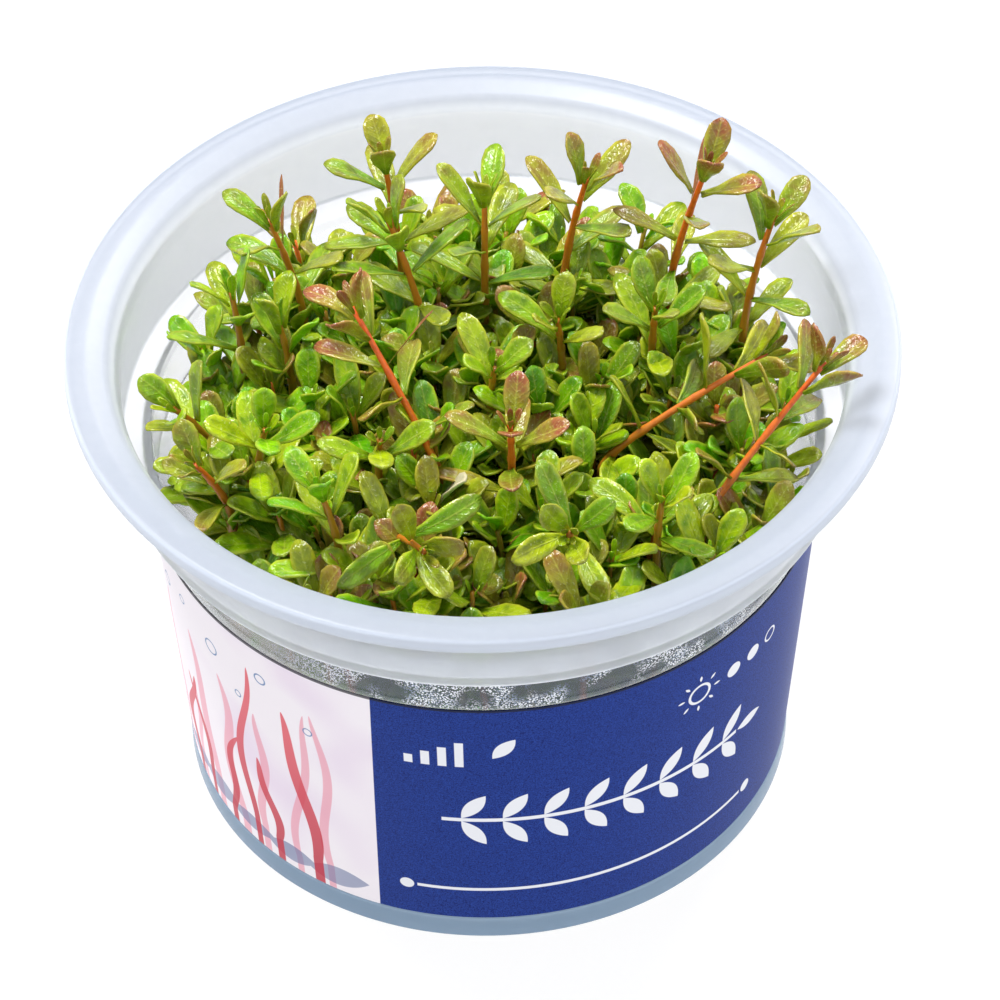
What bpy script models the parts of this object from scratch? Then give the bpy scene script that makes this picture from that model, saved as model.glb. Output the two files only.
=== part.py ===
"""Rotala, an aquarium stem plant, in the round translucent culture cup it is grown in.

Metres, +Z up. The origin is the centre of the cup's foot, on the plane that the cup stands on.
"""

import math
import random
from typing import NamedTuple

import bmesh
import bpy
import numpy as np
from mathutils import Vector, noise

MM = 0.001

# Cup
ROUND_STEPS = 40
FOOT_INNER_RADIUS = 32.6 * MM
FOOT_OUTER_RADIUS = 37.7 * MM
FOOT_EDGE = 0.3 * MM
FOOT_BAND_TOP = 3.2 * MM
FOOT_RECESS = 1.0 * MM
FLOOR_TOP = 2.0 * MM
FLOOR_CORNER = 1.0 * MM
WALL_FOOT_RADIUS = 37.2 * MM
WALL_TAPER = 0.0805
WALL_THICKNESS = 0.9 * MM
EDGE = 0.5 * MM
COLLAR_BOTTOM = 51.5 * MM
COLLAR_TOP = 62.4 * MM
COLLAR_RADIUS = 44.4 * MM
RIM_RADIUS = 50.0 * MM
RIM_TOP = 65.2 * MM
RIM_THICKNESS = 1.2 * MM
LIP_BOTTOM = 63.25 * MM
RIM_INNER_RADIUS = 44.5 * MM
RIM_INNER_HEIGHT = 63.2 * MM
FIT_GAP = 0.3 * MM

# Printed label, wrapped round the wall with its seam at the back
LABEL_BOTTOM = 3.5 * MM
LABEL_TOP = 43.9 * MM
LABEL_GAP = 0.25 * MM
LABEL_THICKNESS = 0.2 * MM
LABEL_SEAM_STEPS = 1

# Nutrient gel on the floor of the cup
GEL_TOP = 15.0 * MM

# Undergrowth: the crowd of short shoots, as one middle clump and a ring of clumps around it
CLUMP_COUNT = 6
CLUMP_CELLS_ROUND = 5
CLUMP_CELLS_OUT = 4
CLUMP_GAP = 0.5 * MM
MIDDLE_RADIUS = 13.0 * MM
FOOT_SPREAD = 34.6 * MM
TOP_SPREAD = 35.5 * MM
FOOT_CENTRE = Vector((0.5 * MM, -1.0 * MM, 0.0))
TOP_CENTRE = Vector((1.5 * MM, -2.5 * MM, 0.0))
CANOPY_HEIGHT = 56.8 * MM
CANOPY_FALL = 2.5 * MM
LUMP_HEIGHT = 1.3 * MM
LUMP_PITCH = 5.0 * MM
TIP_RISE = 1.6 * MM
TIP_LEAN = 1.6 * MM
SOCKET_PLAY = 0.35 * MM

# Shoots that stand out of the undergrowth: square stems with crossed pairs of leaves
BURIED_TIP = 2.0 * MM
STEM_HALF_WIDTH = 0.55 * MM
BUD_HALF_WIDTH = 0.25 * MM
NODE_HALF_HEIGHT = 0.4 * MM
LEAF_LENGTH = 7.0 * MM
LEAF_WIDTH = 2.8 * MM
LEAF_THICKNESS = 0.5 * MM
LEAF_DROOP = 0.12
LEAF_CLEARANCE = 1.3 * MM
CANOPY_CLEARANCE = 0.5 * MM
CUP_CLEARANCE = 0.9 * MM
PAIR_DEPTHS = (1.3 * MM, 4.0 * MM, 7.8 * MM, 12.4 * MM, 17.4 * MM, 22.6 * MM, 27.8 * MM)
PAIR_ANGLES = (24.0, 40.0, 56.0, 66.0, 72.0, 76.0, 78.0)
PAIR_LENGTHS = (0.62, 0.86, 1.0, 1.04, 1.0, 0.95, 0.9)
ANGLE_SPREAD = 7.0
SWING_SPREAD = 8.0
LENGTH_SPREAD = 0.08
# How far along a leaf each section is, and its share of the leaf's width
LEAF_SECTIONS = ((0.62, 1.0), (1.0, 0.48))
LEAF_TEST_STOPS = (0.3, 0.5, 0.7, 0.85, 1.0)
# A leaf that would touch a neighbour is swung sideways, raised, lowered or shortened
LEAF_SHIFTS = (
    (0, 0, 1.0), (14, 0, 1.0), (-14, 0, 1.0), (0, -12, 1.0), (0, 12, 1.0), (28, 0, 0.95),
    (-28, 0, 0.95), (14, -14, 0.9), (-14, -14, 0.9), (0, 0, 0.75), (20, 0, 0.7), (-20, 0, 0.7),
)


class Shoot(NamedTuple):
    """A standing shoot, with its places in millimetres."""

    exit: tuple  # where its stem leaves the undergrowth, (x, y)
    tip: tuple  # (x, y, z)
    rise: float  # how far it climbs upright before it leans, as a share of its reach
    pairs: int
    compass: float  # direction of its top leaf pair, in degrees


SHOOTS = (
    Shoot((-9.5, 18.0), (-11.5, 19.2, 77.0), 0.45, 4, 100.0),
    Shoot((-21.5, 13.5), (-25.5, 15.3, 71.0), 0.40, 4, 150.0),
    Shoot((-28.8, 5.0), (-30.0, 6.8, 67.0), 0.50, 3, 200.0),
    Shoot((-32.0, -8.5), (-36.6, -10.4, 64.5), 0.45, 3, 120.0),
    Shoot((-5.2, -13.0), (-15.2, -4.6, 75.0), 0.10, 5, 160.0),
    Shoot((0.4, 13.0), (0.6, 15.3, 74.5), 0.50, 4, 70.0),
    Shoot((-6.6, 9.0), (-11.0, 11.6, 74.0), 0.30, 4, 20.0),
    Shoot((-23.0, 2.5), (-24.4, 4.0, 65.0), 0.50, 3, 60.0),
    Shoot((-27.0, -14.0), (-25.6, -16.2, 66.5), 0.50, 3, 100.0),
    Shoot((-30.0, -17.5), (-34.0, -18.8, 63.5), 0.35, 2, 80.0),
    Shoot((10.0, 18.5), (13.0, 18.0, 74.5), 0.40, 4, 140.0),
    Shoot((22.5, 15.0), (27.2, 13.8, 79.5), 0.35, 5, 80.0),
    Shoot((31.5, 8.8), (35.2, 10.2, 75.0), 0.45, 4, 45.0),
    Shoot((25.5, -20.5), (40.2, -11.2, 71.0), 0.12, 4, 30.0),
    Shoot((14.0, -11.5), (33.6, -8.2, 69.5), 0.14, 4, 0.0),
    Shoot((3.2, -17.4), (3.1, -18.8, 69.0), 0.60, 3, 85.0),
    Shoot((-11.2, -24.0), (-7.2, -34.8, 64.5), 0.30, 4, 50.0),
    Shoot((10.4, -26.0), (9.6, -34.0, 66.0), 0.40, 4, 110.0),
    Shoot((20.0, -26.0), (20.6, -27.8, 65.5), 0.50, 3, 140.0),
    Shoot((-17.0, -27.0), (-19.4, -26.2, 66.5), 0.50, 3, 120.0),
    Shoot((-12.6, -14.8), (-12.2, -17.0, 65.0), 0.50, 3, 95.0),
    Shoot((9.6, 3.6), (9.0, 2.2, 66.0), 0.50, 3, 60.0),
    Shoot((0.8, -3.6), (1.4, -5.0, 65.0), 0.50, 3, 30.0),
    Shoot((20.4, 4.8), (20.8, 3.4, 66.5), 0.50, 3, 110.0),
)

CUP_COLOUR = (0.86, 0.88, 0.91)
LABEL_COLOUR = (0.03, 0.06, 0.30)
GEL_COLOUR = (0.62, 0.60, 0.45)
UNDERGROWTH_COLOUR = (0.10, 0.26, 0.03)
SHOOT_COLOUR = (0.22, 0.36, 0.04)


def clear_scene():
    for item in list(bpy.data.objects):
        bpy.data.objects.remove(item, do_unlink=True)


def plain_material(name, colour, roughness, transmission=0.0):
    material = bpy.data.materials.new(name)
    material.use_nodes = True
    surface = material.node_tree.nodes["Principled BSDF"]
    surface.inputs["Base Color"].default_value = (*colour, 1.0)
    surface.inputs["Roughness"].default_value = roughness
    surface.inputs["Metallic"].default_value = 0.0
    surface.inputs["Transmission Weight"].default_value = transmission
    return material


def object_from(bm, name, material, smooth=False):
    bmesh.ops.recalc_face_normals(bm, faces=bm.faces[:])
    mesh = bpy.data.meshes.new(name)
    bm.to_mesh(mesh)
    bm.free()
    if smooth:
        mesh.shade_smooth()
        mesh.set_sharp_from_angle(angle=math.radians(35.0))
    mesh.materials.append(material)
    item = bpy.data.objects.new(name, mesh)
    bpy.context.scene.collection.objects.link(item)
    return item


def turned(outline, seam_steps=0):
    """A mesh turned about Z from (radius, height) points, whole or with a seam left open at the back."""
    bm = bmesh.new()
    step = math.tau / ROUND_STEPS
    start = 0.5 * math.pi + seam_steps * step
    facing = Vector((math.cos(start), math.sin(start), 0.0))
    verts = [bm.verts.new(facing * radius + Vector((0.0, 0.0, height))) for radius, height in outline]
    if seam_steps:
        section = [bm.faces.new(verts)]
    else:
        section = verts + [bm.edges.new(pair) for pair in zip(verts, verts[1:])]
    steps = ROUND_STEPS - seam_steps
    bmesh.ops.spin(
        bm, geom=section, cent=(0, 0, 0), axis=(0, 0, 1), angle=step * steps, steps=steps,
        use_merge=not seam_steps,
    )
    bmesh.ops.remove_doubles(bm, verts=bm.verts[:], dist=1e-6)
    return bm


def wall_radius(height):
    """Outer radius of the tapered wall, which starts above the foot band."""
    return WALL_FOOT_RADIUS + WALL_TAPER * (height - FOOT_BAND_TOP)


def inner_radius(height):
    """Inner radius of the tapered wall, and of the collar above it."""
    if height > COLLAR_BOTTOM + WALL_THICKNESS:
        return COLLAR_RADIUS - WALL_THICKNESS
    return wall_radius(height) - WALL_THICKNESS


def cup_outline():
    """The cup's section, from the middle of its underside, up the outside, over the rim and down inside."""
    collar_inner = COLLAR_RADIUS - WALL_THICKNESS
    ledge = COLLAR_BOTTOM + WALL_THICKNESS
    lip_inner = RIM_RADIUS - WALL_THICKNESS
    floor_edge = FLOOR_TOP + FLOOR_CORNER
    return [
        (0.0, FOOT_RECESS),
        (FOOT_INNER_RADIUS - EDGE, FOOT_RECESS),
        (FOOT_INNER_RADIUS, 0.0),
        (FOOT_OUTER_RADIUS - FOOT_EDGE, 0.0),
        (FOOT_OUTER_RADIUS, FOOT_EDGE),
        (FOOT_OUTER_RADIUS, FOOT_BAND_TOP),
        (WALL_FOOT_RADIUS, FOOT_BAND_TOP),
        (wall_radius(COLLAR_BOTTOM), COLLAR_BOTTOM - EDGE),
        (COLLAR_RADIUS - EDGE, COLLAR_BOTTOM),
        (COLLAR_RADIUS, COLLAR_BOTTOM + EDGE),
        (COLLAR_RADIUS, COLLAR_TOP),
        (lip_inner, RIM_TOP - RIM_THICKNESS),
        (lip_inner, LIP_BOTTOM),
        (RIM_RADIUS, LIP_BOTTOM),
        (RIM_RADIUS, RIM_TOP - EDGE),
        (RIM_RADIUS - EDGE, RIM_TOP),
        (RIM_INNER_RADIUS + EDGE, RIM_INNER_HEIGHT + EDGE),
        (RIM_INNER_RADIUS, RIM_INNER_HEIGHT),
        (collar_inner, COLLAR_TOP - EDGE),
        (collar_inner, ledge + EDGE),
        (collar_inner - EDGE, ledge),
        (inner_radius(COLLAR_BOTTOM) + EDGE, ledge),
        (inner_radius(COLLAR_BOTTOM), COLLAR_BOTTOM),
        (inner_radius(floor_edge), floor_edge),
        (inner_radius(floor_edge) - FLOOR_CORNER, FLOOR_TOP),
        (0.0, FLOOR_TOP),
    ]


def make_cup():
    material = plain_material("clouded_plastic", CUP_COLOUR, 0.3, transmission=0.7)
    return object_from(turned(cup_outline()), "cup", material, smooth=True)


def make_label():
    inside = LABEL_GAP
    outside = LABEL_GAP + LABEL_THICKNESS
    outline = [
        (wall_radius(LABEL_TOP) + inside, LABEL_TOP),
        (wall_radius(LABEL_TOP) + outside, LABEL_TOP),
        (wall_radius(LABEL_BOTTOM) + outside, LABEL_BOTTOM),
        (wall_radius(LABEL_BOTTOM) + inside, LABEL_BOTTOM),
    ]
    material = plain_material("printed_film", LABEL_COLOUR, 0.35)
    return object_from(turned(outline, LABEL_SEAM_STEPS), "label", material, smooth=True)


def make_gel():
    bottom = FLOOR_TOP + FIT_GAP
    shoulder = FLOOR_TOP + FLOOR_CORNER + FIT_GAP
    outline = [
        (0.0, bottom),
        (inner_radius(shoulder) - FLOOR_CORNER - FIT_GAP, bottom),
        (inner_radius(shoulder) - FIT_GAP, shoulder),
        (inner_radius(GEL_TOP) - FIT_GAP, GEL_TOP),
        (0.0, GEL_TOP),
    ]
    material = plain_material("nutrient_gel", GEL_COLOUR, 0.2, transmission=0.5)
    return object_from(turned(outline), "nutrient_gel", material, smooth=True)


def canopy_height(x, y):
    """Height of the undergrowth's top, without its lumps: a shallow dome."""
    out = (Vector((x, y, 0.0)) - TOP_CENTRE).length / TOP_SPREAD
    return CANOPY_HEIGHT - CANOPY_FALL * out * out


def clump_point(angle, out, level):
    """A point of the undergrowth: level runs from its foot to its top, out from its middle to its edge."""
    centre = FOOT_CENTRE.lerp(TOP_CENTRE, level)
    spread = FOOT_SPREAD + (TOP_SPREAD - FOOT_SPREAD) * level
    point = centre + Vector((math.cos(angle), math.sin(angle), 0.0)) * spread * out
    foot = GEL_TOP + FIT_GAP
    lump = LUMP_HEIGHT * noise.noise(Vector((point.x, point.y, 0.0)) / LUMP_PITCH)
    point.z = foot + (canopy_height(point.x, point.y) + lump - foot) * level
    return point


def make_clump(name, angles, outs, material):
    """One clump over a span of angle and distance from the middle, lumpy on top."""
    whole = outs[0] == 0.0
    bm = bmesh.new()
    bmesh.ops.create_grid(
        bm, x_segments=2 * CLUMP_CELLS_ROUND if whole else CLUMP_CELLS_ROUND,
        y_segments=CLUMP_CELLS_OUT // 2 if whole else CLUMP_CELLS_OUT, size=0.5,
    )
    plan = {vert: (vert.co.x + 0.5, vert.co.y + 0.5) for vert in bm.verts}

    def place(spots, level):
        for vert, (along, out) in spots.items():
            angle = angles[0] + (angles[1] - angles[0]) * along
            vert.co = clump_point(angle, outs[0] + (outs[1] - outs[0]) * out, level)

    place(plan, 0.0)
    bmesh.ops.remove_doubles(bm, verts=bm.verts[:], dist=1e-5)
    plan = {vert: spot for vert, spot in plan.items() if vert.is_valid}
    foot = bm.faces[:]
    top = foot
    for level in (0.6, 1.0):
        lifted = bmesh.ops.extrude_face_region(bm, geom=top)["geom"]
        if level == 1.0:
            bmesh.ops.delete(bm, geom=[face for face in top if face.is_valid], context="FACES_ONLY")
        top = [part for part in lifted if isinstance(part, bmesh.types.BMFace)]
        verts = [part for part in lifted if isinstance(part, bmesh.types.BMVert)]
        below = {tuple(vert.co): spot for vert, spot in plan.items()}
        plan = {vert: below[tuple(vert.co)] for vert in verts}
        place(plan, level)
    bmesh.ops.dissolve_faces(bm, faces=foot, use_verts=True)
    raise_tips(bm, top, name)
    return object_from(bm, name, material)


def raise_tips(bm, faces, name):
    """Draws the middle of each top face up to a leaning leaf tip."""
    chance = random.Random(name)
    for vert in bmesh.ops.poke(bm, faces=faces)["verts"]:
        lean = Vector((chance.uniform(-1.0, 1.0), chance.uniform(-1.0, 1.0), 0.0)) * TIP_LEAN
        vert.co += lean + Vector((0.0, 0.0, TIP_RISE * chance.uniform(0.5, 1.0)))


def make_undergrowth(sockets):
    material = plain_material("undergrowth_leaf", UNDERGROWTH_COLOUR, 0.45)
    inner = MIDDLE_RADIUS / TOP_SPREAD
    gap_out = CLUMP_GAP / TOP_SPREAD
    clumps = [make_clump("undergrowth_middle", (0.0, math.tau), (0.0, inner), material)]
    span = math.tau / CLUMP_COUNT
    gap_angle = CLUMP_GAP / (0.5 * TOP_SPREAD)
    for index in range(CLUMP_COUNT):
        start = index * span
        angles = (start, start + span - gap_angle)
        clumps.append(make_clump(f"undergrowth_{index + 1}", angles, (inner + gap_out, 1.0), material))
    for clump in clumps:
        cut = clump.modifiers.new("stem_sockets", "BOOLEAN")
        cut.operation = "DIFFERENCE"
        cut.solver = "EXACT"
        cut.object = sockets
    return clumps


def stem_point(shoot, along):
    """A point on the stem's free stretch, 0 where it leaves the undergrowth and 1 at its tip."""
    start = Vector((*shoot.exit, 0.0)) * MM
    start.z = canopy_height(start.x, start.y) - BURIED_TIP
    end = Vector(shoot.tip) * MM
    bend = start + Vector((0.0, 0.0, shoot.rise * (end - start).length))
    return start.lerp(bend, along).lerp(bend.lerp(end, along), along)


def stem_direction(shoot, along):
    step = 0.02
    return (stem_point(shoot, along + step) - stem_point(shoot, along - step)).normalized()


def along_at_depth(shoot, depth):
    """How far along the free stretch a point lies that is this far below the tip, measured on the stem."""
    steps = 60
    walked = 0.0
    last = stem_point(shoot, 1.0)
    for step in range(1, steps + 1):
        here = stem_point(shoot, 1.0 - step / steps)
        walked += (here - last).length
        if walked >= depth:
            return 1.0 - step / steps
        last = here
    return 0.0


def stem_axes(shoot, along):
    """The stem's direction and its two crosswise axes, which hold the leaf pairs in turn."""
    forward = stem_direction(shoot, along)
    compass = math.radians(shoot.compass)
    first = Vector((math.cos(compass), math.sin(compass), 0.0))
    first = (first - forward * first.dot(forward)).normalized()
    return forward, first, forward.cross(first)


def leaf_frame(forward, outward, angle, swing):
    """A leaf's direction, at an angle from the stem and swung sideways, and its upper side."""
    side = forward.cross(outward)
    flat = outward * math.cos(swing) + side * math.sin(swing)
    direction = forward * math.cos(angle) + flat * math.sin(angle)
    upper = (forward - direction * forward.dot(direction)).normalized()
    return direction, upper


def leaf_point(leaf, along, across=0.0):
    """A point on a leaf's middle surface, which curves gently away from the stem."""
    side = leaf["direction"].cross(leaf["upper"])
    droop = leaf["upper"] * (-LEAF_DROOP * leaf["length"] * along * along)
    return leaf["base"] + leaf["direction"] * leaf["length"] * along + droop + side * across


def leaf_samples(leaf):
    half = 0.5 * leaf["width"]
    return [leaf_point(leaf, along, across) for along in LEAF_TEST_STOPS for across in (-half, 0.0, half)]


def clear_of_cup(point):
    out = math.hypot(point.x, point.y)
    if point.z > RIM_TOP + CUP_CLEARANCE:
        return True
    limit = inner_radius(point.z) if point.z < COLLAR_TOP else COLLAR_RADIUS - WALL_THICKNESS
    return out < limit - CUP_CLEARANCE


def clear_of_undergrowth(point):
    return point.z > canopy_height(point.x, point.y) + LUMP_HEIGHT + TIP_RISE + CANOPY_CLEARANCE


def leaf_fits(leaf, taken):
    samples = leaf_samples(leaf)
    if not all(clear_of_cup(point) and clear_of_undergrowth(point) for point in samples):
        return False
    apart = np.array(samples)[:, None, :] - taken[None, :, :]
    return float((apart**2).sum(axis=2).min()) > LEAF_CLEARANCE**2


def stem_samples(shoot):
    return [stem_point(shoot, step / 24) for step in range(25)]


def leaf_on(shoot, pair, along, side, chances, shift):
    """One leaf of a pair, on the stem's side 1 or -1, shifted as asked."""
    forward, first, second = stem_axes(shoot, along)
    outward = (second if pair % 2 else first) * side
    swing, lift, shrink = shift
    angle = math.radians(PAIR_ANGLES[pair] + ANGLE_SPREAD * chances[0] + lift)
    direction, upper = leaf_frame(forward, outward, angle, math.radians(swing + SWING_SPREAD * chances[1]))
    return {
        "along": along,
        "outward": outward,
        "base": stem_point(shoot, along) + outward * STEM_HALF_WIDTH,
        "direction": direction,
        "upper": upper,
        "length": LEAF_LENGTH * PAIR_LENGTHS[pair] * (1.0 + LENGTH_SPREAD * chances[2]) * shrink,
        "width": LEAF_WIDTH * (0.7 + 0.3 * PAIR_LENGTHS[pair]),
    }


def planned_leaves():
    """The leaves of each shoot, shifted or left off where they would touch a neighbour."""
    taken = [stem_samples(shoot) for shoot in SHOOTS]
    plan = []
    for index, shoot in enumerate(SHOOTS):
        chance = random.Random(index)
        others = np.array([point for owner, points in enumerate(taken) if owner != index for point in points])
        leaves = []
        for pair in range(shoot.pairs):
            along = along_at_depth(shoot, PAIR_DEPTHS[pair])
            for side in (1.0, -1.0):
                chances = [chance.uniform(-1.0, 1.0) for _ in range(3)]
                tries = (leaf_on(shoot, pair, along, side, chances, shift) for shift in LEAF_SHIFTS)
                leaf = next((leaf for leaf in tries if leaf_fits(leaf, others)), None)
                if leaf:
                    leaves.append(leaf)
                    taken[index] = taken[index] + leaf_samples(leaf)
        plan.append(leaves)
    return plan


def corner_signs(verts, centre, first, second):
    """Which corner of its square each vertex is."""
    signs = {}
    for vert in verts:
        offset = vert.co - centre
        signs[vert] = (math.copysign(1.0, offset.dot(first)), math.copysign(1.0, offset.dot(second)))
    return signs


def extruded(bm, face, signs):
    """The face drawn out, with the corner of each of its new vertices."""
    corners = {vert.co.copy().freeze(): sign for vert, sign in signs.items()}
    face = bmesh.ops.extrude_discrete_faces(bm, faces=[face])["faces"][0]
    return face, {vert: corners[vert.co.copy().freeze()] for vert in face.verts}


def start_stem(bm, shoot, half, low):
    """The buried stretch of a stem, upright from the gel: its top face and that face's corners."""
    compass = math.radians(shoot.compass)
    first = Vector((math.cos(compass), math.sin(compass), 0.0))
    second = Vector((-first.y, first.x, 0.0))
    high = stem_point(shoot, 0.0)
    bmesh.ops.create_cube(bm, size=1.0)
    top = max(bm.faces, key=lambda face: face.calc_center_median().z)
    signs = corner_signs(bm.verts, Vector(), Vector((1, 0, 0)), Vector((0, 1, 0)))
    for vert, (a, b) in signs.items():
        centre = high if vert in top.verts[:] else Vector((high.x, high.y, low))
        vert.co = centre + (first * a + second * b) * half
    return top, {vert: signs[vert] for vert in top.verts}


def raise_stem(bm, top, signs, shoot, along, offset, half):
    """Draws the stem on to a new square, set off from its curve's point by the offset along it."""
    forward, first, second = stem_axes(shoot, along)
    centre = stem_point(shoot, along) + forward * offset
    top, signs = extruded(bm, top, signs)
    for vert, (a, b) in signs.items():
        vert.co = centre + (first * a + second * b) * half
    return top, signs


def grow_leaf(bm, face, leaf, forward):
    """Draws one side of a stem's node out into a leaf, section by section."""
    side = leaf["direction"].cross(leaf["upper"])
    signs = corner_signs(face.verts, face.calc_center_median(), side, forward)
    for along, share in LEAF_SECTIONS:
        face, signs = extruded(bm, face, signs)
        half_width = 0.5 * leaf["width"] * share
        half_thickness = 0.5 * LEAF_THICKNESS * (0.7 if along == 1.0 else 1.0)
        for vert, (a, b) in signs.items():
            vert.co = leaf_point(leaf, along, a * half_width) + leaf["upper"] * (half_thickness * b)


def emerging_stops(shoot):
    """Steps along a stem's free stretch, up to where it stands clear of the undergrowth."""
    stops = [0.1]
    while stops[-1] < 0.95:
        point = stem_point(shoot, stops[-1])
        if point.z > canopy_height(point.x, point.y) + LUMP_HEIGHT + TIP_RISE + 2.0 * STEM_HALF_WIDTH:
            break
        stops.append(stops[-1] + 0.1)
    return stops


def make_shoot(name, shoot, leaves, material):
    """One shoot: a four-sided stem drawn up from the gel, with its leaves drawn out of its nodes."""
    bm = bmesh.new()
    top, signs = start_stem(bm, shoot, STEM_HALF_WIDTH, GEL_TOP + FIT_GAP)
    nodes = sorted({leaf["along"] for leaf in leaves})
    for along in emerging_stops(shoot):
        if along < nodes[0] - 0.08:
            top, signs = raise_stem(bm, top, signs, shoot, along, 0.0, STEM_HALF_WIDTH)
    for along in nodes:
        top, signs = raise_stem(bm, top, signs, shoot, along, -NODE_HALF_HEIGHT, STEM_HALF_WIDTH)
        top, signs = raise_stem(bm, top, signs, shoot, along, NODE_HALF_HEIGHT, STEM_HALF_WIDTH)
        sides = [face for edge in top.edges for face in edge.link_faces if face is not top]
        middle = stem_point(shoot, along)
        forward = stem_direction(shoot, along)
        for leaf in [leaf for leaf in leaves if leaf["along"] == along]:
            outward = leaf["outward"]
            face = max(sides, key=lambda side: (side.calc_center_median() - middle).dot(outward))
            sides.remove(face)
            grow_leaf(bm, face, leaf, forward)
    raise_stem(bm, top, signs, shoot, 1.0, 0.0, BUD_HALF_WIDTH)
    return object_from(bm, name, material)


def make_sockets():
    """The cutter for the undergrowth: a square shaft round every stem, up to where it stands clear."""
    sockets = bmesh.new()
    half = STEM_HALF_WIDTH + SOCKET_PLAY
    for shoot in SHOOTS:
        shaft = bmesh.new()
        top, signs = start_stem(shaft, shoot, half, GEL_TOP - 1.0 * MM)
        for along in emerging_stops(shoot):
            top, signs = raise_stem(shaft, top, signs, shoot, along, 0.0, half)
        mesh = bpy.data.meshes.new("shaft")
        shaft.to_mesh(mesh)
        shaft.free()
        sockets.from_mesh(mesh)
        bpy.data.meshes.remove(mesh)
    cutter = object_from(sockets, "stem_socket_cutter", plain_material("cutter", SHOOT_COLOUR, 0.5))
    cutter.hide_render = True
    cutter.display_type = "WIRE"
    return cutter


def main():
    clear_scene()
    make_cup()
    make_label()
    make_gel()
    make_undergrowth(make_sockets())
    material = plain_material("shoot_leaf", SHOOT_COLOUR, 0.35)
    for index, (shoot, leaves) in enumerate(zip(SHOOTS, planned_leaves())):
        make_shoot(f"shoot_{index + 1:02d}", shoot, leaves, material)


main()
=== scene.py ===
"""Looks of a rotala in its round culture cup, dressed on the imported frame.

Metres, +Z up. The origin is the centre of the cup's foot, on the plane that the cup stands on.
"""

import math
import random
from typing import NamedTuple

import bmesh
import bpy
import numpy as np
from mathutils import Matrix, Vector


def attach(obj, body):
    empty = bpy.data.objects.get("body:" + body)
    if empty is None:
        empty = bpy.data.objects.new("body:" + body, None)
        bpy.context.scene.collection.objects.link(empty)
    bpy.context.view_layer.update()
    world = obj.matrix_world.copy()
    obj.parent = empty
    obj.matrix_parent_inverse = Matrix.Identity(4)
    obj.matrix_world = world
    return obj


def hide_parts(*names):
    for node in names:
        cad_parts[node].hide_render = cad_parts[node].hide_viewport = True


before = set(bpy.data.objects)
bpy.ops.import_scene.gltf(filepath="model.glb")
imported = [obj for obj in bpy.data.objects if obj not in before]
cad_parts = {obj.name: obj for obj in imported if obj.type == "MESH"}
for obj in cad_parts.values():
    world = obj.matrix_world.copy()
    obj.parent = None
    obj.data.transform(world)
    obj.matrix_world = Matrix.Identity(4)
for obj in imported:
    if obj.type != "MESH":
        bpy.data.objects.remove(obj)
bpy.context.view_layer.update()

MM = 0.001

# Camera at the photograph's angle
CAMERA_PLACE = Vector((0.0, -0.5175276, 0.5556429))
CAMERA_TURN = (math.radians(44.98435), math.radians(0.64863), math.radians(-0.84849))
CAMERA_LENS = 215.084

# Cup
CUP_STEPS = 160
FOOT_INNER_RADIUS = 32.6 * MM
FOOT_OUTER_RADIUS = 37.7 * MM
FOOT_BAND_TOP = 3.2 * MM
FOOT_RECESS = 1.0 * MM
FLOOR_TOP = 2.0 * MM
WALL_FOOT_RADIUS = 37.2 * MM
WALL_TAPER = 0.0805
WALL_THICKNESS = 0.9 * MM
COLLAR_BOTTOM = 51.5 * MM
COLLAR_TOP = 62.4 * MM
COLLAR_RADIUS = 44.4 * MM
RIM_RADIUS = 50.0 * MM
RIM_TOP = 65.2 * MM
RIM_THICKNESS = 1.2 * MM
LIP_BOTTOM = 63.25 * MM
RIM_INNER_RADIUS = 44.5 * MM
ROUNDING = 0.55 * MM
FINE_ROUNDING = 0.2 * MM
GEL_TOP = 15.0 * MM
FIT_GAP = 0.3 * MM

# Haze and beads of damp on the plastic: how fine they are, and how far in front of the middle they and the
# painted shade on the wall start
HAZE_SCALE = 700.0
BEAD_SCALE = 3900.0
BEAD_PATCH_SCALE = 210.0
BEAD_AND_SHADE_FRONT = 22.0 * MM
BEAD_AND_SHADE_FADE = 14.0 * MM

# Label
LABEL_STEPS = 180
LABEL_BOTTOM = 3.5 * MM
LABEL_TOP = 43.9 * MM
LABEL_GAP = 0.25 * MM
LABEL_THICKNESS = 0.2 * MM
LABEL_SEAM = math.radians(9.0)

# The label's print, in millimetres along and up it, and in degrees round it for the panel's edges
PRINT_SEED = 11
PRINT_SPREAD = 0.685
PRINT_EDGE = 0.07
WEAVE_SCALE = 6500.0
WASH_SCALE = 70.0
PANEL_EDGE = -20.0
PANEL_LEAN = 1.5
PANEL_SPAN = 98.0
TRIM_DEPTH = 0.35
RIBBON_COUNT = 22
RIBBON_PITCH = 2.6
PEBBLE_COUNT = 8
PEBBLE_PITCH = 7.2
# Each bubble: its place along and up the label, its radius and its line's width
BUBBLES = (
    (-50.0, 37.5, 0.9, 0.3), (-44.5, 39.2, 0.6, 0.25), (-38.0, 36.8, 1.1, 0.3),
    (-29.0, 38.4, 0.8, 0.3), (-22.5, 33.0, 0.6, 0.25), (-33.5, 32.2, 0.5, 0.25),
)

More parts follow.
